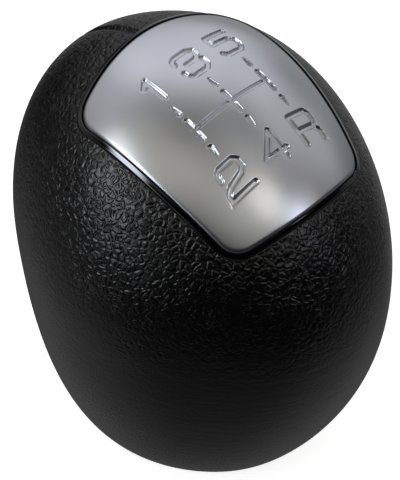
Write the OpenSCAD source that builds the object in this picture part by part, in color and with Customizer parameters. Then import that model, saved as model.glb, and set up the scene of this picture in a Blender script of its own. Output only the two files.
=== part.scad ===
// Gear shift knob: an egg-shaped grip over a two-part core, with a shield-shaped plate in its crown.
// The lever's axis is Z, the front of the car is +Y, and the origin lies in the plane of the base.

/* [Grip] */
// Width of the grip across the palm
grip_w = 56; // [52:0.5:62]
// Height from the base to the crown
grip_h = 77.5; // [74:0.1:84]
// Depth of the grip from front to rear
grip_depth = 66.2; // [62:0.2:72]
// Height of the belly at the front
front_belly_h = 46.5; // [42:0.5:50]
// Height of the belly at the rear
rear_belly_h = 40.7; // [37:0.1:44]
// Height of the belly at the sides
side_belly_h = 40.6; // [37:0.1:44]
// Distance of the crown in front of the lever
crown_y = 4.9; // [3:0.1:7]
// Width of the base
base_w = 29.8; // [29:0.1:32]
// Reach of the base in front of the lever
base_front = 17.9; // [16.5:0.1:19]
// Reach of the base behind the lever
base_rear = 16.9; // [16.5:0.1:19]
// Thickness of the moulded skin
skin_t = 2.4; // [1.8:0.1:3]
// Height of the rounded hem at the base
hem_h = 1.4; // [0.8:0.1:2]
// Width of the closing seam down the front
seam_w = 1.6; // [1:0.1:2.4]
// Depth of the closing seam
seam_depth = 0.6; // [0.3:0.1:1]

/* [Plate] */
// Tilt of the plate towards the driver, in degrees
plate_tilt_deg = 11.2; // [8:0.1:15]
// Distance of the plate's pivot in front of the lever
plate_y = 0.7; // [0:0.1:1.5]
// Width between the front corners
plate_front_w = 31.9; // [30:0.1:33]
// Width between the rear corners
plate_rear_w = 26.6; // [25:0.1:29]
// Distance of the front corners from the middle
plate_front_v = 15.4; // [14.8:0.1:16.5]
// Distance of the rear corners from the middle
plate_rear_v = 16.1; // [15.6:0.1:17]
// Rise of the arched front edge
front_rise = 3.9; // [3:0.1:4.4]
// Rise of the rear edge
rear_rise = 2.2; // [1.6:0.1:2.6]
// Rise of each side edge
side_rise = 1.35; // [1:0.05:2]
// Radius of the front corners
front_corner_r = 5; // [3.5:0.1:6]
// Radius of the rear corners
rear_corner_r = 4.7; // [3:0.1:5.5]
// Wall of the plate
plate_t = 1.6; // [1.2:0.1:2]
// Radius of the rolled edge
edge_r = 0.6; // [0.4:0.1:1]
// Depth of the turned-down edge
edge_depth = 2.2; // [1.8:0.1:2.6]
// Stand of the plate above the skin
plate_proud = 0.1; // [0:0.05:0.4]

/* [Pattern] */
// Distance of the pattern's middle in front of the pivot
pattern_v = 0.25; // [0:0.05:0.5]
// Distance between the columns of the shift pattern
column_pitch = 7.4; // [6.5:0.1:8]
// Distance of each row of digits from the middle
row_offset = 8.95; // [8.2:0.05:9.6]
// Width of a digit, between the middles of its strokes
digit_w = 4.1; // [3.4:0.1:4.6]
// Height of a digit, between the middles of its strokes
digit_h = 4.6; // [4:0.1:5.2]
// Width of the engraved strokes
stroke_w = 0.95; // [0.7:0.05:1.1]
// Width of the gate's crossbar
crossbar_w = 0.75; // [0.6:0.05:1]
// Depth of the engraving
engrave_depth = 0.45; // [0.3:0.05:0.7]
// Half length of the gate's uprights
gate_h = 2.1; // [1.6:0.1:2.6]
// Length of the arrow dashes
dash_h = 2.1; // [1.6:0.1:2.4]
// Distance of the dashes from the middle
dash_offset = 4.2; // [4:0.1:4.5]

/* [Bezel] */
// Width of the bezel's rim
rim_w = 0.6; // [0.5:0.05:1]
// Width of the rim's level face
rim_face_w = 0.3; // [0.2:0.05:0.4]
// Depth of the slope from the face down to the plate
rim_slope = 0.6; // [0.4:0.1:1]
// Stand of the rim above the skin
rim_proud = 0.3; // [0.1:0.05:0.4]
// Gap between the plate and the rim
plate_gap = 0.15; // [0.1:0.05:0.3]
// Depth of the tray below the lowest corner
tray_depth = 2.7; // [2.5:0.1:3.4]
// Thickness of the tray's floor
tray_t = 2; // [1.6:0.1:2.6]

/* [Core] */
// Wall of the half shells
core_t = 2.4; // [2:0.1:3]
// Thickness of the deck under the bezel
deck_t = 3; // [2.4:0.1:3.6]
// Thickness of the ribs
rib_t = 1.8; // [1.2:0.1:2.4]
// Diameter of the boss around the insert
boss_d = 24; // [23:0.5:26]
// Thickness of the floor that the collar clips through
floor_t = 3; // [2.4:0.1:3.6]

/* [Lever] */
// Wall diameter of the threaded hole, for an M12 x 1.25 lever
thread_d = 10.65; // [8:0.05:11]
// Diameter of the lever's plain shank
lever_d = 12; // [11:0.1:12.4]
// Width of the insert's body
insert_d = 16.5; // [15:0.1:18]
// Width across the flats of the insert's hexagon
hexagon_w = 18; // [17.6:0.1:19]
// Height of the insert's hexagon
hexagon_h = 4; // [3:0.5:6]
// Length of the insert
insert_h = 22; // [18:0.5:26]
// Height of the insert's lower end above the base
insert_z = 14; // [13:0.5:16]
// Free length above the insert for the lever's tip
tip_h = 8; // [5:0.5:10]

/* [Base] */
// Thickness of the collar's flange
flange_t = 2.2; // [1.8:0.1:2.8]
// Outer diameter of the collar's spigot
spigot_d = 19.5; // [19:0.1:20]
// Height of the spigot above the flange
spigot_h = 7; // [6:0.1:8]
// Stand of the snap bead
bead_r = 0.5; // [0.3:0.05:0.7]
// Outer diameter of the rubber bush
bush_d = 16.6; // [16:0.1:17]

/* [Fasteners] */
// Diameter of the screws' shanks
screw_d = 2.9; // [2.5:0.1:3.5]
// Diameter of the screws' pan heads
head_d = 5.4; // [4.8:0.1:6]
// Height of the screws' pan heads
head_h = 1.9; // [1.5:0.1:2.3]
// Length of the bezel screws below the head
bezel_screw_h = 8; // [7:0.5:10]
// Length of the screws that join the halves, below the head
join_screw_h = 12; // [10:0.5:14]

/* [Hidden] */

// Clearances
fit_gap = 0.1;
slide_gap = 0.25;
overrun = 1;
far = 2 * grip_h;
half_share = 0.5;

// Form of the egg: how far its oval section is flattened between its four sides, where each crown curve
// passes at 45 degrees, and how far each taper has drawn in half way down
flatten_share = 0.029;
front_crown_share = 0.709;
rear_crown_share = 0.713;
side_crown_share = 0.7293;
front_taper_share = 0.3315;
rear_taper_share = 0.2476;
side_taper_share = 0.1473;
crown_powers = [for (s = [front_crown_share, rear_crown_share, side_crown_share]) ln(half_share) / ln(s)];
taper_powers = [for (s = [front_taper_share, rear_taper_share, side_taper_share]) ln(s) / ln(half_share)];

// Divisions of the lofted surfaces
skin_sides = 48;
core_sides = 36;
skin_levels = [9, 18];
core_levels = [5, 8];
end_steps = 5;
corner_steps = 4;
side_steps = 5;
halvings = 22;
round_fn = 64;
small_fn = 32;

// Reach of the egg at height z: a rounded crown above the belly and an easing taper below it
function reach(z, belly_z, belly, base, crown, crown_z, crown_power, taper_power) =
    z >= belly_z
        ? crown + (belly - crown) * pow(max(0, 1 - pow((z - belly_z) / (crown_z - belly_z), crown_power)),
            1 / crown_power)
        : base + (belly - base) * (1 - pow((belly_z - z) / belly_z, taper_power));

// Front, rear and side reach at height z, with the surface set inwards by a depth
function front_at(z, in) = reach(z, front_belly_h, grip_depth / 2 - in, base_front - in, crown_y,
    grip_h - in, crown_powers[0], taper_powers[0]);
function rear_at(z, in) = reach(z, rear_belly_h, grip_depth / 2 - in, base_rear - in, -crown_y,
    grip_h - in, crown_powers[1], taper_powers[1]);
function side_at(z, in) = reach(z, side_belly_h, grip_w / 2 - in, base_w / 2 - in, 0,
    grip_h - in, crown_powers[2], taper_powers[2]);

// A point of the egg's section at height z: an oval, drawn in a little between its four sides
function drawn_in(twice_angle_sine) = 1 - flatten_share * pow(twice_angle_sine, 2);
function egg_point(z, angle, in, pull) =
    let (f = front_at(z, in), r = rear_at(z, in), k = drawn_in(sin(2 * angle)))
    [side_at(z, in) * k * cos(angle), (f - r) / 2 + ((f + r) / 2 * k - pull) * sin(angle), z];
function egg_ring(z, angles, in) = [for (a = angles) egg_point(z, a, in, 0)];

// Heights of the rings, closer together towards the crown
crown_share = 0.9995;
function egg_heights(low, in, steps) = concat(
    [for (i = [0 : steps[0] - 1]) low + (side_belly_h - low) * i / steps[0]],
    [for (i = [0 : steps[1]])
        side_belly_h + (grip_h - in - side_belly_h) * sin(90 * i / steps[1]) * crown_share]);
function even_angles(n) = [for (i = [0 : n - 1]) 360 * i / n];
function reversed(list) = [for (i = [len(list) - 1 : -1 : 0]) list[i]];

module block(low, high) {
    translate(low)
        cube(high - low);
}

// A closed surface through rings of points, which are flat at both ends
module loft(rings) {
    n = len(rings[0]);
    last = len(rings) - 1;
    sides = [for (j = [0 : last - 1], i = [0 : n - 1])
        let (a = j * n + i, b = j * n + (i + 1) % n) each [[a, a + n, b + n], [a, b + n, b]]];
    ends = [[for (i = [0 : n - 1]) i], [for (i = [n - 1 : -1 : 0]) last * n + i]];
    polyhedron([for (r = rings) each r], concat(sides, ends));
}

// A closed ring whose section runs round through a loop of outlines
module hoop(rings) {
    n = len(rings[0]);
    m = len(rings);
    sides = [for (j = [0 : m - 1], i = [0 : n - 1])
        let (a = j * n + i, b = j * n + (i + 1) % n, c = (j + 1) % m * n + i, d = (j + 1) % m * n + (i + 1) % n)
        each [[a, c, d], [a, d, b]]];
    polyhedron([for (r = rings) each r], sides);
}

// A dome: rings that start and finish at a point
module dome(start, rings, finish) {
    n = len(rings[0]);
    last = len(rings) - 1;
    top = len(rings) * n + 1;
    sides = [for (j = [0 : last - 1], i = [0 : n - 1])
        let (a = 1 + j * n + i, b = 1 + j * n + (i + 1) % n) each [[a, a + n, b + n], [a, b + n, b]]];
    low = [for (i = [0 : n - 1]) [0, 1 + i, 1 + (i + 1) % n]];
    high = [for (i = [0 : n - 1]) [top, 1 + last * n + (i + 1) % n, 1 + last * n + i]];
    polyhedron(concat([start], [for (r = rings) each r], [finish]), concat(low, sides, high));
}

// The egg set inwards by a depth, from just below the base to its crown
module egg(in) {
    loft([for (z = concat([-overrun], egg_heights(flange_t, in, core_levels)))
        egg_ring(z, even_angles(core_sides), in)]);
}

// The plate's own axes: u to the right, v to the front, w outwards, from a pivot on the lever's axis
pivot_z = grip_h / 2;
module on_plate() {
    translate([0, plate_y, pivot_z])
        rotate([plate_tilt_deg, 0, 0])
            children();
}

// Height of the grip's surface above the pivot, found by halving the span between inside and outside
function outside_oval(x, y) =
    let (d = norm([x, y]))
    d > 1 || (d > 0 && d > drawn_in(2 * x * y / pow(d, 2)));
function beyond(u, v, w) =
    let (y = plate_y + v * cos(plate_tilt_deg) - w * sin(plate_tilt_deg),
        z = pivot_z + v * sin(plate_tilt_deg) + w * cos(plate_tilt_deg),
        f = front_at(z, 0), r = rear_at(z, 0), side = side_at(z, 0))
    z >= grip_h || side <= 0 || f + r <= 0 ? true : outside_oval(u / side, (2 * y - f + r) / (f + r));
function halve(u, v, low, high, left) =
    let (mid = (low + high) / 2)
    left == 0 ? mid : beyond(u, v, mid) ? halve(u, v, low, mid, left - 1) : halve(u, v, mid, high, left - 1);
function crown_w(u, v) = halve(u, v, 0, grip_h, halvings);
function on_crown(p, depth) = [p[0], p[1], crown_w(p[0], p[1]) - depth];

// The shield's outline: five arcs on each side that meet without a kink
function arc_radius(half_chord, rise) = (half_chord * half_chord + rise * rise) / (2 * rise);
front_arc_r = arc_radius(plate_front_w / 2, front_rise);
rear_arc_r = arc_radius(plate_rear_w / 2, rear_rise);
front_arc_c = [0, plate_front_v + front_rise - front_arc_r];
rear_arc_c = [0, rear_arc_r - plate_rear_v - rear_rise];
side_front = [plate_front_w / 2, plate_front_v];
side_rear = [plate_rear_w / 2, -plate_rear_v];
side_chord = side_front - side_rear;
side_arc_r = arc_radius(norm(side_chord) / 2, side_rise);
side_inward = [-side_chord[1], side_chord[0]] / norm(side_chord);
side_arc_c = (side_front + side_rear) / 2 + side_inward * (side_arc_r - side_rise);

// Where two circles meet, on the side given
function meet(c1, r1, c2, r2, way) =
    let (d = norm(c2 - c1), along = (c2 - c1) / d, a = (r1 * r1 - r2 * r2 + d * d) / (2 * d),
        h = sqrt(r1 * r1 - a * a))
    c1 + a * along + way * h * [-along[1], along[0]];
front_corner_c = meet(front_arc_c, front_arc_r - front_corner_r, side_arc_c, side_arc_r - front_corner_r, -1);
rear_corner_c = meet(rear_arc_c, rear_arc_r - rear_corner_r, side_arc_c, side_arc_r - rear_corner_r, 1);
function heading(p) = atan2(p[1], p[0]);
function arc_points(c, r, from, to, n) =
    [for (i = [0 : n - 1]) let (a = from + (to - from) * i / n) c + r * [cos(a), sin(a)]];
function right_half(in) =
    let (a1 = heading(rear_corner_c - rear_arc_c), a2 = heading(rear_corner_c - side_arc_c),
        a3 = heading(front_corner_c - side_arc_c), a4 = heading(front_corner_c - front_arc_c))
    concat(arc_points(rear_arc_c, rear_arc_r - in, -90, a1, end_steps),
        arc_points(rear_corner_c, rear_corner_r - in, a1, a2, corner_steps),
        arc_points(side_arc_c, side_arc_r - in, a2, a3, side_steps),
        arc_points(front_corner_c, front_corner_r - in, a3, a4, corner_steps),
        arc_points(front_arc_c, front_arc_r - in, a4, 90, end_steps),
        [front_arc_c + [0, front_arc_r - in]]);
function shield(in) =
    let (right = right_half(in))
    concat(right, [for (i = [len(right) - 2 : -1 : 1]) [-right[i][0], right[i][1]]]);

// Heights in the plate's own axes
rim_gap = plate_gap + rim_w;
opening_out = rim_gap + fit_gap;
lowest_w = min([for (p = shield(0)) crown_w(p[0], p[1])]);
tray_w = lowest_w - tray_depth;
deck_w = tray_w - tray_t - fit_gap;
core_in = skin_t + fit_gap;

// The skin: up the core's room and down to the hem, then up the outside with its seam, less the bezel's opening
lip_r = 0.2;
hem_in = 1;
hem_lift = 0.4;
seam_angles = [for (k = [-1, 0, 1]) 90 + k * atan2(seam_w, grip_depth)];
skin_angles = concat([for (a = even_angles(skin_sides)) if (abs(a - 90) > 2 * (seam_angles[2] - 90)) a],
    seam_angles);
function ordered(list) = len(list) < 2 ? list :
    let (pivot = list[0], rest = [for (i = [1 : len(list) - 1]) list[i]])
    concat(ordered([for (a = rest) if (a < pivot) a]), [pivot], ordered([for (a = rest) if (a >= pivot) a]));
function skin_ring(z, in, pull) = [for (a = ordered(skin_angles)) egg_point(z, a, in, a == 90 ? pull : 0)];
hem_shares = [[1, 0], [0.3, 0.3], [0, 1]];
function skin_rings() = concat(
    [for (z = reversed(egg_heights(flange_t, skin_t, core_levels))) skin_ring(z, skin_t, 0)],
    [skin_ring(hem_lift, skin_t, 0)],
    [for (s = hem_shares) skin_ring(hem_lift + hem_h * s[1], hem_in * s[0], seam_depth)],
    [for (z = egg_heights(0, 0, skin_levels)) if (z > hem_lift + 2 * hem_h) skin_ring(z, 0, seam_depth)]);
lip_cut = [[opening_out - overrun, overrun], [opening_out - overrun, -lip_r], [opening_out, -lip_r],
    [opening_out + lip_r * 0.3, -lip_r * 0.3], [opening_out + lip_r, 0], [opening_out + lip_r, overrun]];

module opening(out, low) {
    on_plate()
        translate([0, 0, low])
            linear_extrude(height = grip_h)
                polygon(shield(-out));
}

module grip() {
    color("#1c1c1d")
        difference() {
            loft(skin_rings());
            opening(opening_out, 0);
            on_plate()
                hoop([for (p = lip_cut) [for (q = shield(-p[0])) on_crown(q, -p[1])]]);
        }
}

// The core: a ribbed shell that the skin is drawn over, in two halves that part at the middle plane
core_z = flange_t + fit_gap;
floor_z = core_z + floor_t;
shelf_t = 2;
boss_z = insert_z - shelf_t;
join_grip = 5;
join_wall = 1.2;
join_boss_d = head_d + 2 * join_wall;
pin_d = 2.6;
pin_h = 3;
join_shares = [[0.58, 0.62], [-0.6, 0.62], [0.53, 0.31], [-0.6, 0.31]];
pin_shares = [[0.62, 0.47], [-0.64, 0.47]];
rib_shares = [0.3, 0.62];
function join_place(s) = [0, s[0] * grip_depth / 2, s[1] * grip_h];

// The hooks, pegs and screws of the plate and the bezel stand in pairs about the middle
hook_u = 11;
hook_v = 6;
hook_w = 4;
hook_t = 1.2;
hook_barb = 0.8;
peg_d = 2.4;
peg_v = 13.2;
bezel_screw_u = 7.6;
bezel_screw_v = 12.4;
post_d = 6.4;
module in_pairs(u, v) {
    for (a = [-1, 1], b = [-1, 1])
        translate([a * u, b * v, 0])
            mirror([a < 0 ? 1 : 0, 0, 0])
                children();
}

module core_room() {
    intersection() {
        egg(core_in + core_t);
        on_plate()
            block([-far, -far, -far], [far, far, deck_w - deck_t]);
        block([-far, -far, floor_z], [far, far, far]);
    }
}

module webs() {
    translate([0, 0, boss_z])
        cylinder(h = far, d = boss_d, $fn = round_fn);
    block([-far, -rib_t / 2, 0], [far, rib_t / 2, far]);
    for (s = rib_shares)
        block([-far, -far, s * grip_h - rib_t / 2], [far, far, s * grip_h + rib_t / 2]);
    for (s = join_shares)
        translate(join_place(s))
            rotate([0, 90, 0])
                cylinder(h = far, d = join_boss_d, center = true, $fn = small_fn);
    for (s = pin_shares)
        translate(join_place(s))
            rotate([0, 90, 0])
                cylinder(h = far, d = 2 * pin_d, center = true, $fn = small_fn);
    on_plate()
        in_pairs(bezel_screw_u, bezel_screw_v)
            translate([0, 0, deck_w - bezel_screw_h - rib_t])
                cylinder(h = bezel_screw_h + rib_t, d = post_d, $fn = small_fn);
}

// What the lever, the insert and the collar take out of the core
module lever_room() {
    hole_d = spigot_d + 2 * fit_gap;
    translate([0, 0, -overrun])
        cylinder(h = boss_z + overrun, d = hole_d, $fn = round_fn);
    translate([0, 0, floor_z])
        cylinder(h = boss_z - floor_z, d = hole_d + 4 * bead_r, $fn = round_fn);
    cylinder(h = insert_z + insert_h + tip_h, d = lever_d + 2 * slide_gap, $fn = round_fn);
    translate([0, 0, insert_z])
        cylinder(h = insert_h + fit_gap, d = insert_d + 2 * fit_gap, $fn = round_fn);
    translate([0, 0, insert_z])
        cylinder(h = hexagon_h + fit_gap, d = (hexagon_w + 2 * fit_gap) / cos(30), $fn = 6);
}

module plate_room() {
    on_plate() {
        in_pairs(bezel_screw_u, bezel_screw_v)
            translate([0, 0, deck_w - bezel_screw_h])
                cylinder(h = far, d = screw_d + fit_gap, $fn = small_fn);
        in_pairs(hook_u, hook_v)
            block([-hook_t / 2 - slide_gap, -hook_w / 2 - slide_gap, deck_w - deck_t - overrun],
                [hook_t / 2 + 2 * hook_barb + slide_gap, hook_w / 2 + slide_gap, far]);
        for (side = [-1, 1])
            translate([0, side * peg_v, deck_w - deck_t / 2])
                cylinder(h = far, d = peg_d + 2 * slide_gap, $fn = small_fn);
    }
}

module core_body() {
    difference() {
        intersection() {
            egg(core_in);
            block([-far, -far, core_z], [far, far, far]);
        }
        difference() {
            core_room();
            webs();
        }
        opening(rim_gap + fit_gap, deck_w);
        lever_room();
        plate_room();
    }
}

module core_left() {
    color("#2b2b2e") {
        difference() {
            core_body();
            block([-fit_gap / 2, -far, -far], [far, far, far]);
            for (s = join_shares)
                translate(join_place(s))
                    rotate([0, -90, 0]) {
                        cylinder(h = far, d = screw_d + 2 * fit_gap, $fn = small_fn);
                        translate([0, 0, join_grip])
                            cylinder(h = far, d = head_d + 2 * slide_gap, $fn = small_fn);
                    }
        }
        for (s = pin_shares)
            translate(join_place(s) - [overrun, 0, 0])
                rotate([0, 90, 0])
                    cylinder(h = pin_h + overrun, d = pin_d, $fn = small_fn);
    }
}

module core_right() {
    color("#333336")
        difference() {
            core_body();
            block([-far, -far, -far], [fit_gap / 2, far, far]);
            for (s = join_shares)
                translate(join_place(s))
                    rotate([0, 90, 0])
                        cylinder(h = join_screw_h - join_grip + slide_gap, d = screw_d + fit_gap, $fn = small_fn);
            for (s = pin_shares)
                translate(join_place(s))
                    rotate([0, 90, 0])
                        cylinder(h = pin_h + slide_gap, d = pin_d + 2 * fit_gap, $fn = small_fn);
        }
}

// A self-tapping screw with a domed pan head; its seat lies at zero and its shank points down
module screw(length) {
    rotate_extrude($fn = small_fn)
        polygon([[0, -length], [screw_d / 2, screw_d - length], [screw_d / 2, 0], [head_d / 2, 0],
            [head_d / 2, head_h / 2], [head_d / 3, head_h], [0, head_h]]);
}

module join_screws() {
    color("silver")
        for (s = join_shares)
            translate(join_place(s) - [join_grip, 0, 0])
                rotate([0, -90, 0])
                    screw(join_screw_h);
}

module bezel_screws() {
    color("silver")
        on_plate()
            in_pairs(bezel_screw_u, bezel_screw_v)
                translate([0, 0, tray_w])
                    screw(bezel_screw_h + tray_t - slide_gap);
}

// The insert: a hexagon that keeps it from turning, a grooved body and the threaded hole
module threaded_insert() {
    groove_h = insert_h / 7;
    groove_depth = insert_d / 20;
    mouth = thread_d / 12;
    color("#b59a52")
        translate([0, 0, insert_z])
            difference() {
                union() {
                    cylinder(h = hexagon_h, d = hexagon_w / cos(30), $fn = 6);
                    difference() {
                        cylinder(h = insert_h, d = insert_d, $fn = round_fn);
                        for (k = [2, 4])
                            translate([0, 0, k * groove_h + groove_h])
                                difference() {
                                    cylinder(h = groove_h, d = insert_d + overrun, $fn = round_fn);
                                    translate([0, 0, -overrun])
                                        cylinder(h = groove_h + 2 * overrun, d = insert_d - 2 * groove_depth,
                                            $fn = round_fn);
                                }
                    }
                }
                translate([0, 0, -overrun])
                    cylinder(h = insert_h + 2 * overrun, d = thread_d, $fn = round_fn);
                cylinder(h = mouth, d1 = thread_d + 2 * mouth, d2 = thread_d, $fn = round_fn);
            }
}

// The collar: an oval flange in the base, and a slotted spigot whose bead snaps over the core's floor
lip_t = 0.9;
module base_collar() {
    flange_in = skin_t + slide_gap;
    soft = flange_t / 5;
    slots = 3;
    color("#232325")
        difference() {
            union() {
                loft([for (p = [[0, soft], [soft, 0], [flange_t, 0]])
                    egg_ring(p[0], even_angles(core_sides), flange_in + p[1])]);
                translate([0, 0, flange_t / 2])
                    cylinder(h = spigot_h + flange_t / 2, d = spigot_d, $fn = round_fn);
                translate([0, 0, floor_z + bead_r + fit_gap])
                    rotate_extrude($fn = round_fn)
                        translate([spigot_d / 2, 0])
                            circle(r = bead_r, $fn = small_fn);
            }
            translate([0, 0, lip_t])
                cylinder(h = far, d = bush_d + 2 * fit_gap, $fn = round_fn);
            translate([0, 0, -overrun])
                cylinder(h = far, d = lever_d + 2 * lip_t, $fn = round_fn);
            for (k = [0 : slots - 1])
                rotate([0, 0, 30 + 120 * k])
                    block([0, -lip_t, floor_z - floor_t / 2], [spigot_d, lip_t, far]);
        }
}

module centring_bush() {
    low = lip_t + fit_gap;
    high = flange_t + spigot_h;
    lip_h = (high - low) / 4;
    inner = lever_d / 2 + fit_gap;
    color("#101010")
        rotate_extrude($fn = round_fn)
            polygon([[inner, low], [bush_d / 2, low], [bush_d / 2, high], [inner, high],
                [inner, high - lip_h], [inner + slide_gap, high - 1.5 * lip_h],
                [inner + slide_gap, low + 1.5 * lip_h], [inner, low + lip_h]]);
}

// The bezel: a tray screwed to the deck, with a rounded rim that follows the grip's surface
rim_r = rim_face_w / 3;
rim_top = [[rim_gap, rim_r], [rim_gap - 0.3 * rim_r, 0.3 * rim_r], [rim_gap - rim_r, 0],
    [rim_gap - rim_face_w, 0], [plate_gap, rim_slope]];
function level_ring(out, w) = [for (q = shield(-out)) [q[0], q[1], w]];
function rim_ring(p) = [for (q = shield(-p[0])) on_crown(q, p[1] - rim_proud)];

module bezel() {
    color("#0b0b0c")
        difference() {
            on_plate()
                loft(concat([level_ring(rim_gap, tray_w - tray_t)], [for (p = rim_top) rim_ring(p)],
                    [level_ring(plate_gap, tray_w)]));
            plate_room();
        }
}

// The foam block between the tray's floor and the plate
pad_u = 7.2;
pad_v = 8.6;
pad_r = 1.6;
pad_h = crown_w(pad_u, -pad_v) + plate_proud - plate_t - tray_w - fit_gap;
module damping_pad() {
    color("#4a4a4c")
        on_plate()
            translate([0, 0, tray_w])
                linear_extrude(height = pad_h)
                    hull()
                        in_pairs(pad_u - pad_r, pad_v - pad_r)
                            circle(r = pad_r, $fn = small_fn);
}

// The engraved shift pattern, drawn from the middles of its strokes in shares of a digit's box
one_shares = [[[-0.14, 0.28], [0.12, 0.5], [0.12, -0.44]]];
two_shares = [[[-0.46, 0.2], [-0.46, 0.36], [-0.3, 0.5], [0.3, 0.5], [0.46, 0.36], [0.46, 0.14], [0.3, 0],
    [-0.32, -0.14], [-0.5, -0.28], [-0.5, -0.5], [0.5, -0.5]]];
three_shares = [[[-0.5, 0.24], [-0.44, 0.42], [-0.24, 0.5], [0.3, 0.5], [0.5, 0.38], [0.5, 0.14], [0.32, 0.03],
    [-0.14, 0.03]], [[0.32, 0.03], [0.52, -0.1], [0.52, -0.36], [0.36, -0.5], [-0.3, -0.5], [-0.5, -0.38],
    [-0.5, -0.2]]];
four_shares = [[[0.28, 0.5], [-0.5, -0.24], [0.5, -0.24]], [[0.28, 0.5], [0.28, -0.5]]];
five_shares = [[[0.5, 0.5], [-0.5, 0.5], [-0.5, 0.12], [0.24, 0.12], [0.5, -0.02], [0.5, -0.34], [0.34, -0.5],
    [-0.32, -0.5], [-0.5, -0.36]]];
reverse_shares = [[[-0.46, -0.5], [-0.46, 0.5], [0.38, 0.5], [0.5, 0.38], [0.5, 0.08], [0.38, -0.04],
    [-0.46, -0.04]], [[0.3, -0.04], [0.5, -0.24], [0.5, -0.5]]];

module stroke(p, q, width) {
    translate(p)
        rotate(heading(q - p))
            translate([0, -width / 2])
                square([norm(q - p), width]);
    for (c = [p, q])
        translate(c)
            circle(d = width, $fn = small_fn);
}

module digit(shares, column, row) {
    size = [digit_w, digit_h];
    translate([column * column_pitch, row * row_offset])
        for (line = shares, i = [0 : len(line) - 2])
            stroke([for (k = [0, 1]) line[i][k] * size[k]], [for (k = [0, 1]) line[i + 1][k] * size[k]], stroke_w);
}

module shift_pattern() {
    tip_share = 0.35;
    digit(one_shares, -1, 1);
    digit(three_shares, 0, 1);
    digit(five_shares, 1, 1);
    digit(two_shares, -1, -1);
    digit(four_shares, 0, -1);
    digit(reverse_shares, 1, -1);
    stroke([-column_pitch, 0], [column_pitch, 0], crossbar_w);
    for (column = [-1, 0, 1])
        translate([column * column_pitch, 0]) {
            square([stroke_w, 2 * gate_h], center = true);
            for (row = [-1, 1])
                translate([0, row * dash_offset])
                    polygon([for (p = [[-1, -1], [1, -1], [tip_share, 1], [-tip_share, 1]])
                        [p[0] * stroke_w / 2, row * p[1] * dash_h / 2]]);
        }
}

// The plate: a domed shell with a rolled edge, hooks and pegs below and the pattern cut into its face
dome_shares = [0.32, 0.6, 0.84];
edge_steps = 3;
function plate_ring(in, depth) = [for (q = shield(in)) on_crown(q, depth - plate_proud)];
function scaled_ring(in, share, depth) = [for (q = shield(in)) on_crown(q * share, depth - plate_proud)];
function plate_top(depth) = concat([for (s = reversed(dome_shares)) scaled_ring(edge_r, s, depth)]);
module plate_shell() {
    dome(on_crown([0, 0], plate_t - plate_proud),
        concat([for (s = dome_shares) scaled_ring(plate_t, s, plate_t)],
            [plate_ring(plate_t, plate_t), plate_ring(plate_t, edge_depth), plate_ring(0, edge_depth)],
            [for (i = [0 : edge_steps]) let (a = 90 * i / edge_steps)
                plate_ring(edge_r * (1 - cos(a)), edge_r * (1 - sin(a)))],
            plate_top(0)),
        on_crown([0, 0], -plate_proud));
}

// All that lies below the plate's face by more than a depth
module below_face(depth) {
    dome([0, 0, 0], concat([level_ring(0, 0), plate_ring(0, depth + edge_r), plate_ring(edge_r, depth)],
        plate_top(depth)), on_crown([0, 0], depth - plate_proud));
}

module engraving() {
    difference() {
        translate([0, pattern_v, tray_w])
            linear_extrude(height = far)
                shift_pattern();
        below_face(engrave_depth);
    }
}

// A hook's leg with its barb under the tray, and a peg, both tall enough to be trimmed by the plate
module hook() {
    tip = tray_w - tray_t - deck_t / 2 - hook_t;
    seat = tray_w - tray_t - slide_gap;
    translate([0, hook_w / 2, 0])
        rotate([90, 0, 0])
            linear_extrude(height = hook_w)
                polygon([[-hook_t / 2, grip_h], [-hook_t / 2, tip], [hook_t / 2, tip],
                    [hook_t / 2 + hook_barb, seat - hook_t / 2], [hook_t / 2 + hook_barb, seat],
                    [hook_t / 2, seat], [hook_t / 2, grip_h]]);
}

module peg() {
    translate([0, 0, tray_w - tray_t])
        cylinder(h = grip_h, d = peg_d, $fn = small_fn);
}

module cap_plate() {
    color("#b4b8c0")
        on_plate()
            difference() {
                union() {
                    plate_shell();
                    intersection() {
                        union() {
                            in_pairs(hook_u, hook_v)
                                hook();
                            for (side = [-1, 1])
                                translate([0, side * peg_v, 0])
                                    peg();
                        }
                        below_face(plate_t / 2);
                    }
                }
                engraving();
            }
}

grip();
core_left();
core_right();
join_screws();
threaded_insert();
centring_bush();
base_collar();
bezel();
bezel_screws();
damping_pad();
cap_plate();
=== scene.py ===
"""Gear shift knob: the looks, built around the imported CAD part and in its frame, in metres."""
import math

import bmesh
import bpy
import numpy as np
from mathutils import Matrix, Vector


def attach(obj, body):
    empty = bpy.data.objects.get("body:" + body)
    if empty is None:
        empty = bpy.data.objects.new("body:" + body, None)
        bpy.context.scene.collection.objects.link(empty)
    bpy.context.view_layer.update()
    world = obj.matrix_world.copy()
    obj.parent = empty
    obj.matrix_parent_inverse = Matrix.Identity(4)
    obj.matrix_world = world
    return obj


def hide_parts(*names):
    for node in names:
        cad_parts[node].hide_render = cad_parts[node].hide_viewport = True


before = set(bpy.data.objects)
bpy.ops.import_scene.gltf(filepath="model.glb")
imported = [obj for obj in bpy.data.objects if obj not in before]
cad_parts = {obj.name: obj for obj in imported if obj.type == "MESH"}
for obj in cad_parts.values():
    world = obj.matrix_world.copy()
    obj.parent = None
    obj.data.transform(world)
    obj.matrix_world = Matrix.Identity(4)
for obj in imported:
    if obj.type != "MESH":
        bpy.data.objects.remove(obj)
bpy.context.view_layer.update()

MM = 0.001
QUARTER_TURN, FULL_TURN = math.pi / 2, 2 * math.pi

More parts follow.
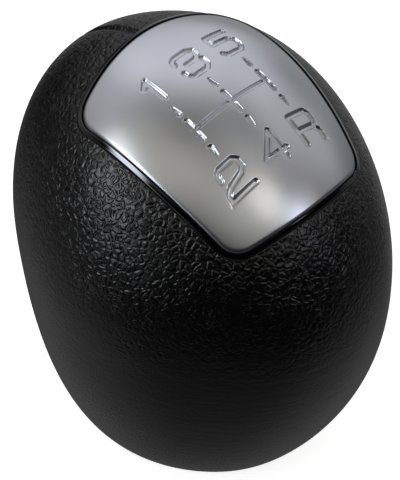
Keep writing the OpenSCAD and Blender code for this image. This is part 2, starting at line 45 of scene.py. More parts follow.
# Sizes are in millimetres unless they say otherwise.
# The egg of the grip. Each set of shares and powers is for its front, its rear and its sides. A crown share
# is how far up, and how far out, the crown's curve meets its diagonal. A taper share is how much of the taper
# is reached half way down to the base
WIDTH, HEIGHT, DEPTH = 56.0, 77.5, 66.2
FRONT_BELLY, REAR_BELLY, SIDE_BELLY = 46.5, 40.7, 40.6
CROWN_Y = 4.9
BASE_W, BASE_FRONT, BASE_REAR = 29.8, 17.9, 16.9
CROWN_SHARES, TAPER_SHARES = (0.709, 0.713, 0.7293), (0.3315, 0.2476, 0.1473)
CROWN_POWERS = [math.log(0.5) / math.log(share) for share in CROWN_SHARES]
TAPER_POWERS = [math.log(share) / math.log(0.5) for share in TAPER_SHARES]
FLATTEN = 0.029

# The skin drawn over it: its lip round the plate, its hem and its seam. Above the waist its rows run out
# from the heart, and below the waist they are level
SKIN_T, HEM_H, HEM_LIFT, HEM_IN, LIP_R = 2.4, 1.4, 0.4, 1.0, 0.15
LIP_WALL_DEPTHS = (SKIN_T, 1.9, 1.4)
SEAM_W, SEAM_DEPTH, SEAM_SPAN = 1.6, 0.6, math.radians(5)
PLATE_Y, WAIST_Z = 0.7, 41.0
HEART = np.array([0.0, PLATE_Y, WAIST_Z])

# The plate in the crown, and the rim of its bezel, whose face falls outwards and whose slope falls inwards
TILT = math.radians(11.2)
FRONT_W, REAR_W, FRONT_V, REAR_V = 31.9, 26.6, 15.4, 16.1
FRONT_RISE, REAR_RISE, SIDE_RISE = 3.9, 2.2, 1.35
FRONT_CORNER_R, REAR_CORNER_R = 5.0, 4.7
PLATE_T, PLATE_PROUD, PLATE_GAP = 1.6, 0.09, 0.15
EDGE_R, EDGE_POWER, EDGE_DEPTH, EDGE_FOOT, EDGE_WALL_DEPTHS = 0.5, 0.8, 2.2, 0.2, (1.6, 1.3)
RIM_W, RIM_R, RIM_SLOPE, RIM_PROUD = 0.6, 0.08, 0.6, 0.18
SLOPE_FALLS, SLOPE_SHARES = (0.05, 0.2, 0.4, RIM_SLOPE), (0.2, 0.55, 0.85, 1.0)
FACE_W, FACE_FALL, FACE_POWER = 0.46, 0.12, 1.25
TRAY_DEPTH, TRAY_T = 2.7, 2.0
RIM_GAP = PLATE_GAP + RIM_W
SKIN_GAP = 0.05
OPENING = RIM_GAP + SKIN_GAP

# The engraved pattern: columns a pitch apart, each with two digits, a gate stroke and two dashes
PATTERN_V, PITCH, ROW = 0.25, 7.4, 8.95
DIGIT_W, DIGIT_H, STROKE_W, CROSSBAR_W, ENGRAVED = 4.1, 4.6, 0.95, 0.75, 0.45
WALL_W, WALL_SPREAD = 0.32, 0.06
GATE_H, GATE_END_SHARE = 2.1, 0.5
DASH_H, DASH_V, DASH_END, DASH_TIP_SHARE = 2.1, 4.2, 0.3, 0.45

# How finely a curve is walked or drawn, in points
HALVINGS, ARC_POINTS, CROWN_POINTS = 26, 160, 400
FAR = 80.0
PLATE_AROUND, BEZEL_AROUND, SEAM_POINTS, SKIN_AROUND = 600, 420, 17, 353
SHARP_EDGE = math.radians(35)


# Form of the egg


def reach(z, belly_z, belly, base, crown, crown_z, crown_power, taper_power):
    """How far one side of the egg reaches at height z."""
    up = np.clip((z - belly_z) / (crown_z - belly_z), 0, 1)
    down = np.clip((belly_z - z) / belly_z, 0, None)
    over = crown + (belly - crown) * np.clip(1 - up**crown_power, 0, 1) ** (1 / crown_power)
    under = base + (belly - base) * (1 - down**taper_power)
    return np.where(z >= belly_z, over, under)


def front_at(z, inset=0.0):
    """How far the egg, or the same egg set inwards, reaches to the front at height z."""
    return reach(z, FRONT_BELLY, DEPTH / 2 - inset, BASE_FRONT - inset, CROWN_Y, HEIGHT - inset,
                 CROWN_POWERS[0], TAPER_POWERS[0])


def rear_at(z, inset=0.0):
    """The same to the rear."""
    return reach(z, REAR_BELLY, DEPTH / 2 - inset, BASE_REAR - inset, -CROWN_Y, HEIGHT - inset,
                 CROWN_POWERS[1], TAPER_POWERS[1])


def side_at(z, inset=0.0):
    """The same to either side."""
    return reach(z, SIDE_BELLY, WIDTH / 2 - inset, BASE_W / 2 - inset, 0.0, HEIGHT - inset,
                 CROWN_POWERS[2], TAPER_POWERS[2])


def drawn_in(twice_angle_sine):
    """How much an oval section is drawn in between its four ends, by the sine of twice the angle."""
    return 1 - FLATTEN * twice_angle_sine**2


def egg_ring(z, turn, inset=0.0):
    """Points of the egg's section at height z, for an array of angles."""
    z = np.full_like(turn, z)
    front, rear = front_at(z, inset), rear_at(z, inset)
    k = drawn_in(np.sin(2 * turn))
    return np.stack([side_at(z, inset) * k * np.cos(turn),
                     (front - rear) / 2 + (front + rear) / 2 * k * np.sin(turn), z], -1)


def outside(points, inset=0.0):
    """Which points lie outside the egg."""
    x, y, z = points[..., 0], points[..., 1], points[..., 2]
    front, rear, side = front_at(z, inset), rear_at(z, inset), side_at(z, inset)
    a = x / np.maximum(side, 1e-6)
    b = (2 * y - front + rear) / np.maximum(front + rear, 1e-6)
    d = np.hypot(a, b)
    return (z >= HEIGHT - inset) | (d > drawn_in(2 * a * b / np.maximum(d * d, 1e-9)))


def to_surface(origins, ways, inset=0.0):
    """Distance along each way from its origin to the egg's surface, by halving."""
    low = np.zeros(ways.shape[:-1])
    high = np.full(ways.shape[:-1], FAR)
    for _ in range(HALVINGS):
        mid = (low + high) / 2
        out = outside(origins + ways * mid[..., None], inset)
        low, high = np.where(out, low, mid), np.where(out, mid, high)
    return (low + high) / 2


# Form of the plate

PLATE_U = np.array([1.0, 0.0, 0.0])
PLATE_FRONT = np.array([0.0, math.cos(TILT), math.sin(TILT)])
PLATE_OUT = np.array([0.0, -math.sin(TILT), math.cos(TILT)])
PIVOT = np.array([0.0, PLATE_Y, HEIGHT / 2])


def place(uv, w):
    """A point of the plate's own axes, in the part's frame."""
    across, along, out = uv[..., 0:1], uv[..., 1:2], np.asarray(w)[..., None]
    return PIVOT + across * PLATE_U + along * PLATE_FRONT + out * PLATE_OUT


def crown_w(uv):
    """Height of the crown over the plate's own middle plane."""
    base = place(uv, np.zeros(uv.shape[:-1]))
    return to_surface(base, np.broadcast_to(PLATE_OUT, base.shape))


def heading(p):
    """The angle at which a point of the plate lies from its middle."""
    return math.atan2(p[1], p[0])


def meet(c1, r1, c2, r2, way):
    """Where two circles meet, on the side given."""
    d = np.linalg.norm(c2 - c1)
    along = (c2 - c1) / d
    a = (r1 * r1 - r2 * r2 + d * d) / (2 * d)
    h = math.sqrt(r1 * r1 - a * a)
    return c1 + a * along + way * h * np.array([-along[1], along[0]])


def shield_arcs():
    """The five arcs of the shield's right half, from the rear middle to the front middle."""
    def radius(half, rise):
        """The radius of an arc by half its chord and its rise."""
        return (half * half + rise * rise) / (2 * rise)

    front_r, rear_r = radius(FRONT_W / 2, FRONT_RISE), radius(REAR_W / 2, REAR_RISE)
    front_c = np.array([0, FRONT_V + FRONT_RISE - front_r])
    rear_c = np.array([0, rear_r - REAR_V - REAR_RISE])
    a, b = np.array([FRONT_W / 2, FRONT_V]), np.array([REAR_W / 2, -REAR_V])
    chord = a - b
    side_r = radius(np.linalg.norm(chord) / 2, SIDE_RISE)
    inward = np.array([-chord[1], chord[0]]) / np.linalg.norm(chord)
    side_c = (a + b) / 2 + inward * (side_r - SIDE_RISE)
    front_corner = meet(front_c, front_r - FRONT_CORNER_R, side_c, side_r - FRONT_CORNER_R, -1)
    rear_corner = meet(rear_c, rear_r - REAR_CORNER_R, side_c, side_r - REAR_CORNER_R, 1)
    turns = [-QUARTER_TURN, heading(rear_corner - rear_c), heading(rear_corner - side_c),
             heading(front_corner - side_c), heading(front_corner - front_c), QUARTER_TURN]
    centres = [rear_c, rear_corner, side_c, front_corner, front_c]
    radii = [rear_r, REAR_CORNER_R, side_r, FRONT_CORNER_R, front_r]
    return list(zip(centres, radii, turns[:-1], turns[1:]))


ARCS = shield_arcs()


def shield(out, turn):
    """Points of the shield's outline, set outwards by a distance, at an array of angles round its middle."""
    arcs = []
    for centre, radius, start, end in ARCS:
        t = np.linspace(start, end, ARC_POINTS, endpoint=False)
        arcs.append(centre + (radius + out) * np.stack([np.cos(t), np.sin(t)], -1))
    right = np.concatenate(arcs)
    around = np.concatenate([right, right[::-1] * [-1, 1]])
    angles = np.unwrap(np.arctan2(around[:, 1], around[:, 0]))
    lengths = np.hypot(around[:, 0], around[:, 1])
    wrapped = np.mod(turn + QUARTER_TURN, FULL_TURN) - QUARTER_TURN
    r = np.interp(wrapped, angles, lengths, period=FULL_TURN)
    return r[..., None] * np.stack([np.cos(turn), np.sin(turn)], -1)


def on_crown(uv, depth):
    """A point of the plate's own axes, at a depth below the crown."""
    return place(uv, crown_w(uv) - depth)


LOWEST_W = float(np.min(crown_w(shield(0.0, np.linspace(0, FULL_TURN, CROWN_POINTS)))))
TRAY_W = LOWEST_W - TRAY_DEPTH


# The digits, as lines through points in shares of a digit's box

ONE = [[(-0.14, 0.28), (0.12, 0.5), (0.12, -0.44)]]
TWO = [[(-0.46, 0.2), (-0.46, 0.36), (-0.3, 0.5), (0.3, 0.5), (0.46, 0.36), (0.46, 0.14), (0.3, 0),
        (-0.32, -0.14), (-0.5, -0.28), (-0.5, -0.5), (0.5, -0.5)]]
THREE = [[(-0.5, 0.24), (-0.44, 0.42), (-0.24, 0.5), (0.3, 0.5), (0.5, 0.38), (0.5, 0.14), (0.32, 0.03),
          (-0.14, 0.03)],
         [(0.32, 0.03), (0.52, -0.1), (0.52, -0.36), (0.36, -0.5), (-0.3, -0.5), (-0.5, -0.38), (-0.5, -0.2)]]
FOUR = [[(0.28, 0.5), (-0.5, -0.24), (0.5, -0.24)], [(0.28, 0.5), (0.28, -0.5)]]
FIVE = [[(0.5, 0.5), (-0.5, 0.5), (-0.5, 0.12), (0.24, 0.12), (0.5, -0.02), (0.5, -0.34), (0.34, -0.5),
         (-0.32, -0.5), (-0.5, -0.36)]]
REVERSE = [[(-0.46, -0.5), (-0.46, 0.5), (0.38, 0.5), (0.5, 0.38), (0.5, 0.08), (0.38, -0.04),
            (-0.46, -0.04)],
           [(0.3, -0.04), (0.5, -0.24), (0.5, -0.5)]]
DIGITS = [(ONE, -1, 1), (THREE, 0, 1), (FIVE, 1, 1), (TWO, -1, -1), (FOUR, 0, -1), (REVERSE, 1, -1)]


def pattern_strokes():
    """Every stroke as its two ends and its half width at each."""
    strokes = []
    half, bar = STROKE_W / 2, CROSSBAR_W / 2
    for digit, column, row in DIGITS:
        middle = np.array([column * PITCH, PATTERN_V + row * ROW])
        for line in digit:
            points = [middle + np.array(p) * [DIGIT_W, DIGIT_H] for p in line]
            strokes += [(a, b, half, half) for a, b in zip(points, points[1:])]
    strokes.append((np.array([-PITCH, PATTERN_V]), np.array([PITCH, PATTERN_V]), bar, bar))
    for column in (-1, 0, 1):
        x = column * PITCH
        upright = GATE_H - half * GATE_END_SHARE
        strokes.append((np.array([x, PATTERN_V - upright]), np.array([x, PATTERN_V + upright]), half, half))
        for row in (-1, 1):
            near, far = (PATTERN_V + row * (DASH_V + end * (DASH_H / 2 - DASH_END)) for end in (-1, 1))
            strokes.append((np.array([x, near]), np.array([x, far]), half, half * DASH_TIP_SHARE))
    return strokes


def engraving(uv):
    """Depth of the engraving at each point: a narrow floor between soft sloping walls."""
    nearest = np.full(uv.shape[:-1], FAR)
    for a, b, wide, narrow in pattern_strokes():
        along = b - a
        t = np.clip(((uv - a) @ along) / (along @ along), 0, 1)
        gap = np.linalg.norm(uv - a - t[..., None] * along, axis=-1) - (wide + (narrow - wide) * t)
        nearest = np.minimum(nearest, gap)
    s = np.clip((WALL_SPREAD - nearest) / WALL_W, 0, 1)
    return ENGRAVED * s * s * (3 - 2 * s)


# Making the pieces


def rolled_sheet(name, rows, closed):
    """A grid rolled into a tube through rows of points; closed joins the last row to the first,
    otherwise each end is drawn together to a pole."""
    around = len(rows[0])
    bm = bmesh.new()
    steps = len(rows) if closed else len(rows) - 1
    bmesh.ops.create_grid(bm, x_segments=around, y_segments=steps, size=0.5)
    points = np.concatenate([np.stack(rows), np.stack(rows[:1])]) if closed else np.stack(rows)
    points = np.concatenate([points, points[:, :1]], 1)
    for v in bm.verts:
        i, j = round((v.co.x + 0.5) * around), round((v.co.y + 0.5) * steps)
        v.co = Vector(points[j, i]) * MM
    bmesh.ops.remove_doubles(bm, verts=bm.verts, dist=1e-7)
    bmesh.ops.recalc_face_normals(bm, faces=bm.faces)
    return finished(name, bm)


def finished(name, bm):
    """The bmesh as an object in the part's frame, smooth but for its sharp edges."""
    for face in bm.faces:
        face.smooth = True
    for edge in bm.edges:
        edge.smooth = not edge.is_manifold or edge.calc_face_angle(0) < SHARP_EDGE
    mesh = bpy.data.meshes.new(name)
    bm.to_mesh(mesh)
    bm.free()
    piece = bpy.data.objects.new(name, mesh)
    bpy.context.scene.collection.objects.link(piece)
    return piece


def dress(piece, material, node=None):
    """Gives a piece its finish; a new piece is hung under the root body, and the node that it stands for is
    hidden.
    """
    piece.data.materials.clear()
    piece.data.materials.append(material)
    if node:
        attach(piece, "root")
        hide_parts(node)
    return piece


def seamed(points):
    """The closing seam down the front: a valley between two soft lips."""
    t = np.clip(np.abs(points[:, 0]) / (SEAM_W / 2), 0, 1)
    depth = SEAM_DEPTH * (1 - t * t) ** 2 * (points[:, 1] > 0)
    inward = HEART - points
    return points + inward / np.linalg.norm(inward, axis=1)[:, None] * depth[:, None]


def between(start, end, share, inset):
    """A row on the egg, at a share of the turn from one row to another as the heart sees them."""
    a, b = start - HEART, end - HEART
    a, b = (p / np.linalg.norm(p, axis=1)[:, None] for p in (a, b))
    angle = np.arccos(np.clip((a * b).sum(1), -1, 1))[:, None]
    way = (np.sin((1 - share) * angle) * a + np.sin(share * angle) * b) / np.sin(angle)
    return HEART + way * to_surface(np.broadcast_to(HEART, way.shape), way, inset)[:, None]


def make_grip():
    """The moulded skin: over the lip, down the outside with its seam, round the hem and back up inside."""
    share = np.linspace(-1, 1, SEAM_POINTS)
    tight = share**3 * 0.5 + share * 0.5
    turn = np.concatenate([QUARTER_TURN + tight * SEAM_SPAN,
                           QUARTER_TURN + np.linspace(SEAM_SPAN, FULL_TURN - SEAM_SPAN, SKIN_AROUND)[1:-1]])
    rows = [on_crown(shield(OPENING, turn), depth) for depth in LIP_WALL_DEPTHS]
    for k in range(9):
        a = QUARTER_TURN * k / 8
        out_by, down_by = (LIP_R * (1 - part) for part in (math.cos(a), math.sin(a)))
        rows.append(seamed(on_crown(shield(OPENING + out_by, turn), down_by)))
    lip, waist = on_crown(shield(OPENING + LIP_R, turn), 0.0), egg_ring(WAIST_Z, turn)
    rows += [seamed(between(lip, waist, k / 70, 0.0)) for k in range(1, 71)]
    rows += [seamed(egg_ring(z, turn)) for z in np.linspace(WAIST_Z, HEM_LIFT + HEM_H, 76)[1:]]
    for k in range(1, 9):
        a = QUARTER_TURN * k / 8
        z, in_by = HEM_LIFT + HEM_H * (1 - math.sin(a)), HEM_IN * (1 - math.cos(a))
        rows.append(seamed(egg_ring(z, turn, in_by)))
    rows.append(egg_ring(HEM_LIFT, turn, SKIN_T))
    inner_waist = egg_ring(WAIST_Z, turn, SKIN_T)
    rows += [egg_ring(z, turn, SKIN_T) for z in np.linspace(HEM_LIFT, WAIST_Z, 9)[1:]]
    rows += [between(inner_waist, rows[0], k / 7, SKIN_T) for k in range(1, 7)]
    return rolled_sheet("skin", rows, closed=True)


def make_plate():
    """The satin plate: its underside, the turned-down edge, the rolled corner and the engraved dome."""
    turn = np.linspace(0, FULL_TURN, PLATE_AROUND, endpoint=False)
    inner = shield(-PLATE_T, turn)
    rows = [on_crown(inner * share, PLATE_T - PLATE_PROUD) for share in (0.0, 0.15, 0.4, 0.65, 0.85, 1.0)]
    rows.append(on_crown(inner, EDGE_DEPTH - PLATE_PROUD))
    rows.append(on_crown(shield(-EDGE_FOOT, turn), EDGE_DEPTH - PLATE_PROUD))
    for depth in (EDGE_DEPTH - EDGE_FOOT, *EDGE_WALL_DEPTHS):
        rows.append(on_crown(shield(0.0, turn), depth - PLATE_PROUD))
    for k in range(11):
        a = QUARTER_TURN * k / 10
        in_by, down_by = (EDGE_R * (1 - part**EDGE_POWER) for part in (math.cos(a), math.sin(a)))
        rows.append(on_crown(shield(-in_by, turn), down_by - PLATE_PROUD))
    face = shield(-EDGE_R, turn)
    bare, engraved = np.linspace(1, 0.76, 12, endpoint=False), np.linspace(0.76, 0, 120)
    for share in np.concatenate([bare, engraved])[1:]:
        uv = face * share
        rows.append(on_crown(uv, engraving(uv) - PLATE_PROUD))
    return rolled_sheet("shift_plate", rows, closed=False)


def make_bezel():
    """The black tray: its underside, its outer wall, the rim's leaning face and its slope, and the floor."""
    turn = np.linspace(0, FULL_TURN, BEZEL_AROUND, endpoint=False)

    def level(outline, w):
        """A row at one height of the plate's own axes."""
        return place(outline, np.full(len(turn), w))

    rows = [level(shield(RIM_GAP, turn) * share, TRAY_W - TRAY_T) for share in (0.0, 0.3, 0.7, 1.0)]
    for k in range(7):
        a = QUARTER_TURN * k / 6
        in_by, down_by = (RIM_R * (1 - part) for part in (math.cos(a), math.sin(a)))
        rows.append(on_crown(shield(RIM_GAP - in_by, turn), down_by - RIM_PROUD))
    for k in range(1, 9):
        t = k / 8
        rise = FACE_FALL * (1 - (1 - t) ** FACE_POWER)
        rows.append(on_crown(shield(RIM_GAP - RIM_R - (FACE_W - RIM_R) * t, turn), -rise - RIM_PROUD))
    for fall, t in zip(SLOPE_FALLS, SLOPE_SHARES):
        out = (RIM_GAP - FACE_W) * (1 - t) + PLATE_GAP * t
        rows.append(on_crown(shield(out, turn), fall - FACE_FALL - RIM_PROUD))
    rows += [level(shield(PLATE_GAP, turn) * share, TRAY_W) for share in (1.0, 0.7, 0.3, 0.0)]
    return rolled_sheet("gloss_bezel", rows, closed=False)


# Finishes


def colour(hex_code):
    """An sRGB hex value as linear RGBA."""
    channels = [int(hex_code[i:i + 2], 16) / 255 for i in (0, 2, 4)]
    return [c / 12.92 if c <= 0.04045 else ((c + 0.055) / 1.055) ** 2.4 for c in channels] + [1.0]


def add(material, kind, settings=None, **inputs):
    """A node with its settings, and its inputs set or linked. An input goes by its name, with underscores for
    spaces, or by its place, as i0."""
    tree = material.node_tree
    node = tree.nodes.new(kind)
    for key, value in (settings or {}).items():
        setattr(node, key, value)
    for key, value in inputs.items():
        by_place = key[0] == "i" and key[1:].isdigit()
        socket = node.inputs[int(key[1:]) if by_place else key.replace("_", " ")]
        if isinstance(value, bpy.types.NodeSocket):
            tree.links.new(value, socket)
        else:
            socket.default_value = value
    return node


def finish(name):
    """A material named for a real finish, with no nodes yet."""
    material = bpy.data.materials.new(name)
    material.use_nodes = True
    material.node_tree.nodes.clear()
    return material


def in_mm(material):
    """The piece's own coordinates in millimetres, so that a pattern's scale is so many to the millimetre."""
    where = add(material, "ShaderNodeTexCoord").outputs["Object"]
    return add(material, "ShaderNodeMapping", Vector=where, Scale=(1 / MM,) * 3).outputs["Vector"]


def moulded_skin():
    """Soft PVC moulded in a leather grain: domed pebbles, large and small, parted by fine creases, with a low
    broken sheen on their tops."""
    material = finish("moulded_soft_pvc")
    mm = in_mm(material)

    def pebbles(per_mm, crease_mm):
        """1 on the top of each pebble, falling to 0 in the crease around it."""
        edge = add(material, "ShaderNodeTexVoronoi", {"feature": "DISTANCE_TO_EDGE"},
                   Vector=drift, Scale=per_mm)
        return add(material, "ShaderNodeMapRange", {"interpolation_type": "SMOOTHERSTEP"},
                   Value=edge.outputs["Distance"], From_Max=crease_mm * per_mm).outputs["Result"]

    # Large pebbles are 2 mm wide and small ones 1 mm, and both wander a little. Real pores are too fine to
    # show, so they are drawn 0.4 mm apart
    wander = add(material, "ShaderNodeTexNoise", Vector=mm, Scale=0.6, Detail=0.5).outputs["Color"]
    drift = add(material, "ShaderNodeVectorMath", {"operation": "MULTIPLY_ADD"},
                i0=wander, i1=(1.0, 1.0, 1.0), i2=mm).outputs["Vector"]
    large = pebbles(per_mm=0.5, crease_mm=0.5)
    small = pebbles(per_mm=0.95, crease_mm=0.3)
    pore = add(material, "ShaderNodeTexNoise", Vector=mm, Scale=2.6, Detail=1.0).outputs["Fac"]
    grain = add(material, "ShaderNodeMath", {"operation": "MULTIPLY"}, i0=pore, i1=0.16).outputs["Value"]
    grain = add(material, "ShaderNodeMath", {"operation": "MULTIPLY_ADD"},
                i0=large, i1=0.35, i2=grain).outputs["Value"]
    grain = add(material, "ShaderNodeMath", {"operation": "MULTIPLY_ADD"},
                i0=small, i1=0.8, i2=grain).outputs["Value"]

    # It runs out from the crown towards the hem, and is a little uneven in patches 9 mm wide
    up = add(material, "ShaderNodeSeparateXYZ", Vector=mm).outputs["Z"]
    grained = add(material, "ShaderNodeMapRange", {"interpolation_type": "SMOOTHSTEP"}, Value=up,
                  From_Min=36.0, From_Max=69.0, To_Min=0.08, To_Max=1.0).outputs["Result"]
    patchy = add(material, "ShaderNodeTexNoise", Vector=mm, Scale=0.11, Detail=2.0).outputs["Fac"]
    patchy = add(material, "ShaderNodeMapRange", Value=patchy,
                 From_Min=0.32, From_Max=0.62, To_Min=0.5, To_Max=1.0).outputs["Result"]
    grained = add(material, "ShaderNodeMath", {"operation": "MULTIPLY"},
                  i0=grained, i1=patchy).outputs["Value"]

    # Where it runs out, the skin is only drawn into faint level wrinkles, 1 mm high and 6 mm long
    drawn = add(material, "ShaderNodeMapping", Vector=mm, Scale=(0.16, 0.16, 1.1)).outputs["Vector"]
    wrinkle = add(material, "ShaderNodeTexNoise", Vector=drawn, Scale=1.0, Detail=3.0).outputs["Fac"]
    height = add(material, "ShaderNodeMath", {"operation": "MULTIPLY"}, i0=grain, i1=grained).outputs["Value"]
    height = add(material, "ShaderNodeMath", {"operation": "MULTIPLY_ADD"},
                 i0=wrinkle, i1=0.4, i2=height).outputs["Value"]

    bump = add(material, "ShaderNodeBump", Height=height, Distance=0.14 * MM, Strength=1.0)
    rough = add(material, "ShaderNodeMapRange", Value=pore, To_Min=0.2, To_Max=0.34)
    surface = add(material, "ShaderNodeBsdfPrincipled", Base_Color=colour("060607"), IOR=1.5,
                  Roughness=rough.outputs["Result"], Normal=bump.outputs["Normal"])
    add(material, "ShaderNodeOutputMaterial", Surface=surface.outputs["BSDF"])
    return material


def satin_chrome():
    """ABS plated in satin chrome: lights and darks flow over it with soft edges, and no brush marks show. Its
    matt grit is too fine to draw, so it is in the roughness, which varies over 8 mm. The face sways a little
    over 4 mm."""
    material = finish("satin_chrome")
    mm = in_mm(material)
    bloom = add(material, "ShaderNodeTexNoise", Vector=mm, Scale=0.12, Detail=2.0).outputs["Fac"]
    rough = add(material, "ShaderNodeMapRange", Value=bloom, To_Min=0.25, To_Max=0.31)
    sway = add(material, "ShaderNodeTexNoise", Vector=mm, Scale=0.25, Detail=1.0).outputs["Fac"]
    bump = add(material, "ShaderNodeBump", Height=sway, Distance=0.02 * MM, Strength=1.0)
    surface = add(material, "ShaderNodeBsdfPrincipled", Base_Color=colour("c9ccd2"), Metallic=1.0,
                  Roughness=rough.outputs["Result"], Normal=bump.outputs["Normal"])
    add(material, "ShaderNodeOutputMaterial", Surface=surface.outputs["BSDF"])
    return material


def black_chrome():
    """ABS plated in black chrome: nearly black, but it throws a bright, hard line where it meets a light. The
    line wavers with the plating over 4 mm."""
    material = finish("black_chrome")
    mm = in_mm(material)
    wave = add(material, "ShaderNodeTexNoise", Vector=mm, Scale=0.25, Detail=1.0).outputs["Fac"]
    bump = add(material, "ShaderNodeBump", Height=wave, Distance=0.01 * MM, Strength=1.0)
    rough = add(material, "ShaderNodeMapRange", Value=wave, To_Min=0.05, To_Max=0.1)
    surface = add(material, "ShaderNodeBsdfPrincipled", Base_Color=colour("5a5b5e"), Metallic=1.0,
                  Roughness=rough.outputs["Result"], Normal=bump.outputs["Normal"],
                  Coat_Weight=1.0, Coat_Roughness=0.04, Coat_IOR=1.5)
    add(material, "ShaderNodeOutputMaterial", Surface=surface.outputs["BSDF"])
    return material


def plain(name, hex_code, rough, grain_per_mm, grain_depth, **surface):
    """A plain moulded, plated or turned finish with a fine even grain. The real grain is too fine to show, so
    it is drawn 0.1 to 0.3 mm wide."""
    material = finish(name)
    grain = add(material, "ShaderNodeTexNoise", Vector=in_mm(material), Scale=grain_per_mm, Detail=3.0)
    grain = grain.outputs["Fac"]
    spread = add(material, "ShaderNodeMapRange", Value=grain, To_Min=rough - 0.06, To_Max=rough + 0.08)
    bump = add(material, "ShaderNodeBump", Height=grain, Distance=grain_depth * MM, Strength=1.0)
    surface = add(material, "ShaderNodeBsdfPrincipled", Base_Color=colour(hex_code),
                  Roughness=spread.outputs["Result"], Normal=bump.outputs["Normal"], **surface)
    add(material, "ShaderNodeOutputMaterial", Surface=surface.outputs["BSDF"])
    return material


# Floor, camera and light


# The floor's profile, in metres out from the knob and up: it rises to a wall far off and closes overhead
FLOOR_PROFILE = [(0.0, -0.00005), (1.2, -0.00005), (1.7, 0.12), (2.0, 0.45), (2.1, 1.0), (2.1, 3.0),
                 (0.0, 3.2)]


def make_floor():
    """White matt paper under and around the knob, with a light of its own so that it stays pale. It throws
    neither shadow nor light on the knob."""
    bm = bmesh.new()
    points = [bm.verts.new((x, 0, z)) for x, z in FLOOR_PROFILE]
    line = [bm.edges.new(pair) for pair in zip(points, points[1:])]
    bmesh.ops.spin(bm, geom=points + line, cent=(0, 0, 0), axis=(0, 0, 1), angle=FULL_TURN, steps=48,
                   use_merge=True)
    bmesh.ops.remove_doubles(bm, verts=bm.verts, dist=1e-6)
    bmesh.ops.recalc_face_normals(bm, faces=bm.faces)
    bmesh.ops.reverse_faces(bm, faces=bm.faces)
    floor = finished("floor", bm)
    material = finish("pale_paper")
    surface = add(material, "ShaderNodeBsdfPrincipled", Base_Color=colour("f2f2f2"), Roughness=0.9,
                  Specular_IOR_Level=0.0, Emission_Color=colour("ffffff"), Emission_Strength=0.75)
    add(material, "ShaderNodeOutputMaterial", Surface=surface.outputs["BSDF"])
    dress(floor, material)
    floor.visible_glossy = floor.visible_diffuse = floor.visible_shadow = False


def toward(azimuth, elevation):
    """A direction from the knob: azimuth from its front towards its right, and elevation."""
    a, e = math.radians(azimuth), math.radians(elevation)
    return Vector((math.sin(a) * math.cos(e), math.cos(a) * math.cos(e), math.sin(e)))


# The photograph's view: its angles in degrees, the lens in millimetres, and the point that the camera aims at,
# with how far to the right of it and over it the middle of the picture lies
VIEW_HEADING, VIEW_ELEVATION, VIEW_ROLL = 44.262, 48.274, -0.105
VIEW_LENS, VIEW_DISTANCE = 206.59, 435.56
AIM, AIM_RIGHT, AIM_OVER = (0, PLATE_Y, 39.41), 0.25, 0.05


def make_camera():
    """The photograph's view: from the left rear, 48 degrees above the horizon, with a long lens."""
    azimuth, roll = math.radians(VIEW_HEADING), math.radians(VIEW_ROLL)
    ahead = toward(VIEW_HEADING, -VIEW_ELEVATION)
    level = Vector((math.cos(azimuth), -math.sin(azimuth), 0))
    over = level.cross(ahead)
    right = level * math.cos(roll) + over * math.sin(roll)
    up = over * math.cos(roll) - level * math.sin(roll)
    target = (Vector(AIM) + right * AIM_RIGHT + up * AIM_OVER) * MM
    data = bpy.data.cameras.new("camera")
    data.lens = VIEW_LENS
    data.clip_start = 0.01
    camera = bpy.data.objects.new("camera", data)
    spot = target - ahead * VIEW_DISTANCE * MM
    camera.matrix_world = Matrix.Translation(spot) @ Matrix((right, up, -ahead)).transposed().to_4x4()
    bpy.context.scene.collection.objects.link(camera)
    bpy.context.scene.camera = camera


# The rest of the room, and soft patches of light round the knob: azimuth from its front towards its right,
# elevation, the angle from the middle within which a patch is full, the angle at which it is gone, and its
# light in linear red, green and blue
ROOM_LIGHT = (0.005, 0.005, 0.005)
PATCHES = [
    (10, 45, 5, 50, (0.16, 0.18, 0.19)),        # white cloth over the front and the right
    (45, 35, 5, 45, (0.66, 0.65, 0.69)),
    (85, 20, 5, 45, (0.18, 0.20, 0.20)),
    (110, 30, 5, 35, (0.38, 0.36, 0.36)),
    (120, 60, 4, 30, (0.18, 0.18, 0.18)),
    (25, 70, 4, 34, (0.19, 0.18, 0.17)),
    (-15, 30, 5, 40, (0.40, 0.37, 0.38)),
    (55, -18, 5, 40, (0.30, 0.30, 0.30)),       # the table, darker towards the camera
    (100, -2, 4, 26, (0.11, 0.11, 0.12)),
    (-40, -40, 5, 45, (0.15, 0.15, 0.15)),
    (135, -45, 5, 45, (0.13, 0.13, 0.13)),
    (0, -90, 10, 70, (0.12, 0.12, 0.12)),
    (-72, 25, 2, 16, (4.2, 4.6, 5.0)),          # the softbox on the left, with its glow around it
    (-62, 34, 2, 18, (1.57, 1.59, 1.54)),
    (-77, 8, 2, 16, (2.6, 2.65, 2.8)),
    (-98, 2, 2, 12, (0.6, 0.62, 0.64)),
    (-85, 52, 3, 34, (0.50, 0.47, 0.41)),
    (163, 24, 2, 14, (1.7, 1.8, 2.2)),          # a smaller one at the rear, with warmer light around it
    (148, 24, 2, 14, (0.58, 0.55, 0.49)),
    (180, 45, 2, 16, (1.07, 1.01, 0.92)),
    (-170, 52, 5, 42, (0.42, 0.40, 0.36)),
    (-150, 38, 3, 24, (0.14, 0.14, 0.13)),
]


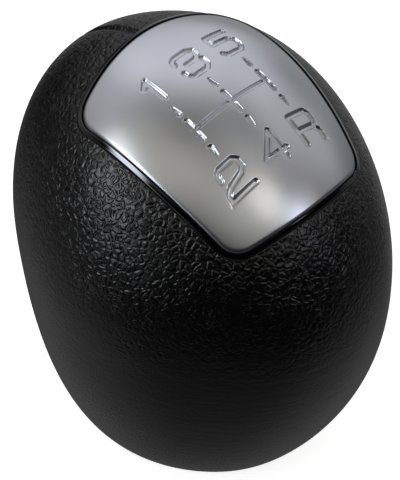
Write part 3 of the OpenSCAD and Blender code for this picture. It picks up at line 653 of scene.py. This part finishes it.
def light_room():
    """The world as the sum of the patches."""
    world = bpy.data.worlds.new("studio")
    world.use_nodes = True
    way = add(world, "ShaderNodeTexCoord").outputs["Generated"]
    total = ROOM_LIGHT
    for azimuth, elevation, full_in, gone_by, light in PATCHES:
        near = add(world, "ShaderNodeVectorMath", {"operation": "DOT_PRODUCT"},
                   i0=way, i1=toward(azimuth, elevation)).outputs["Value"]
        share = add(world, "ShaderNodeMapRange", {"interpolation_type": "SMOOTHSTEP"}, Value=near,
                    From_Min=math.cos(math.radians(gone_by)),
                    From_Max=math.cos(math.radians(full_in))).outputs["Result"]
        patch = add(world, "ShaderNodeVectorMath", {"operation": "SCALE"}, i0=light, Scale=share).outputs["Vector"]
        total = add(world, "ShaderNodeVectorMath", {"operation": "ADD"}, i0=total, i1=patch).outputs["Vector"]
    world.node_tree.links.new(total, world.node_tree.nodes["Background"].inputs["Color"])
    bpy.context.scene.world = world


# The knob

make_camera()
dress(make_grip(), moulded_skin(), "grip")
dress(make_plate(), satin_chrome(), "cap_plate")
dress(make_bezel(), black_chrome(), "bezel")

# The pieces inside and at the mouth stay the frame's own
FINISHES = {
    # Injection moulded: dull and charcoal grey, a little mottled by its fibres
    "nylon": plain("glass_filled_nylon", "242426", 0.6, 5.0, 0.02, IOR=1.53),
    # Rolled steel, zinc plated: a pale, slightly blue metal with blurred highlights
    "zinc": plain("zinc_plated_steel", "b9bcc0", 0.32, 8.0, 0.004, Metallic=1.0),
    # Turned from bar: a warm yellow metal with clear but soft highlights
    "brass": plain("turned_brass", "c9a55c", 0.28, 6.0, 0.004, Metallic=1.0),
    # Compression moulded: a flat black with hardly any sheen
    "rubber": plain("nitrile_rubber", "141415", 0.7, 4.0, 0.03, IOR=1.52),
    # Moulded with an etched texture: black, with a fine broken sheen
    "polypropylene": plain("textured_polypropylene", "1e1e20", 0.55, 4.0, 0.03, IOR=1.49),
    # Cut from a foamed block: matt dark grey and pitted by its cells
    "foam": plain("closed_cell_foam", "3c3c3f", 0.9, 3.0, 0.12, IOR=1.45),
}
for node, name in {"core_left": "nylon", "core_right": "nylon", "join_screws": "zinc", "bezel_screws": "zinc",
                   "threaded_insert": "brass", "centring_bush": "rubber", "base_collar": "polypropylene",
                   "damping_pad": "foam"}.items():
    dress(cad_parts[node], FINISHES[name])

make_floor()
light_room()
bpy.context.scene.view_settings.view_transform = "Standard"
